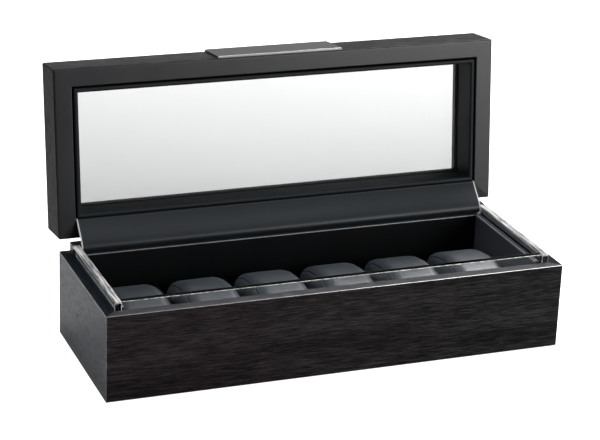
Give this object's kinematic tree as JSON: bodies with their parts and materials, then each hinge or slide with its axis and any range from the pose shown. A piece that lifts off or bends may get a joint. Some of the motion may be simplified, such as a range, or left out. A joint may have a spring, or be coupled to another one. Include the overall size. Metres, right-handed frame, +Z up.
{
  "type": "watch box",
  "caption": "Long veneered watch box with a clear rim, padded leather-covered watch cushions side by side, and a hinged lid with a glass window and a metal lift plate.",
  "frame": {"origin": "centre of the underside of the case, on the surface that it stands on", "axes": "+X to the right along the length, +Y to the back where the hinges are, +Z up"},
  "size_m": [0.34, 0.1693, 0.1959],
  "materials": {
    "veneer": "open-grained dark veneer, satin lacquer",
    "black_lacquer": "black satin lacquer",
    "board": "dark painted board",
    "felt": "black felt",
    "clear_acrylic": "clear polished acrylic",
    "leather": "fine-grained dark imitation leather",
    "cushion_leather": "soft smooth imitation leather",
    "foam_tape": "black foam tape",
    "glass": "clear flat glass",
    "hinge_steel": "plated steel",
    "brushed_plate": "brushed metal with polished bevels"
  },
  "bodies": {
    "case": {"base_front_panel": "veneer", "base_back_panel": "veneer", "base_left_panel": "veneer", "base_right_panel": "veneer", "base_floor_panel": "board", "base_felt": "felt", "clear_front_strip": "clear_acrylic", "clear_left_strip": "clear_acrylic", "clear_right_strip": "clear_acrylic", "rear_hinge_rail": "black_lacquer", "lining_front": "leather", "lining_back": "leather", "lining_left": "leather", "lining_right": "leather", "lining_floor": "leather", "divider_1": "leather", "divider_2": "leather", "divider_3": "leather", "divider_4": "leather", "divider_5": "leather", "base_hinge_leaf_left": "hinge_steel", "base_hinge_leaf_right": "hinge_steel", "hinge_pin_left": "hinge_steel", "hinge_pin_right": "hinge_steel", "base_hinge_screws": "hinge_steel", "hinge_cover": "leather"},
    "lid": {"lid_front_rail": "veneer", "lid_back_rail": "veneer", "lid_left_rail": "veneer", "lid_right_rail": "veneer", "lid_frame_front": "leather", "lid_frame_back": "leather", "lid_frame_left": "leather", "lid_frame_right": "leather", "glass_tape": "foam_tape", "lid_glass": "glass", "lid_hinge_leaf_left": "hinge_steel", "lid_hinge_leaf_right": "hinge_steel", "lid_hinge_screws": "hinge_steel", "lift_plate": "brushed_plate", "lift_plate_screws": "hinge_steel"},
    "cushion_1": {"cushion_1": "cushion_leather"},
    "cushion_2": {"cushion_2": "cushion_leather"},
    "cushion_3": {"cushion_3": "cushion_leather"},
    "cushion_4": {"cushion_4": "cushion_leather"},
    "cushion_5": {"cushion_5": "cushion_leather"},
    "cushion_6": {"cushion_6": "cushion_leather"}
  },
  "joints": [
    {"name": "lid_hinge", "type": "hinge", "parent": "case", "child": "lid", "pos_m": [0, 0.0625, 0.0712], "axis": [-1, 0, 0], "range_deg": [-96.4, 0], "deforming": ["hinge_cover"]},
    {"name": "cushion_1_lift", "type": "slide", "parent": "case", "child": "cushion_1", "axis": [0, 0, 1], "range_m": [0, 0.07]},
    {"name": "cushion_2_lift", "type": "slide", "parent": "case", "child": "cushion_2", "axis": [0, 0, 1], "range_m": [0, 0.07]},
    {"name": "cushion_3_lift", "type": "slide", "parent": "case", "child": "cushion_3", "axis": [0, 0, 1], "range_m": [0, 0.07]},
    {"name": "cushion_4_lift", "type": "slide", "parent": "case", "child": "cushion_4", "axis": [0, 0, 1], "range_m": [0, 0.07]},
    {"name": "cushion_5_lift", "type": "slide", "parent": "case", "child": "cushion_5", "axis": [0, 0, 1], "range_m": [0, 0.07]},
    {"name": "cushion_6_lift", "type": "slide", "parent": "case", "child": "cushion_6", "axis": [0, 0, 1], "range_m": [0, 0.07]}
  ]
}
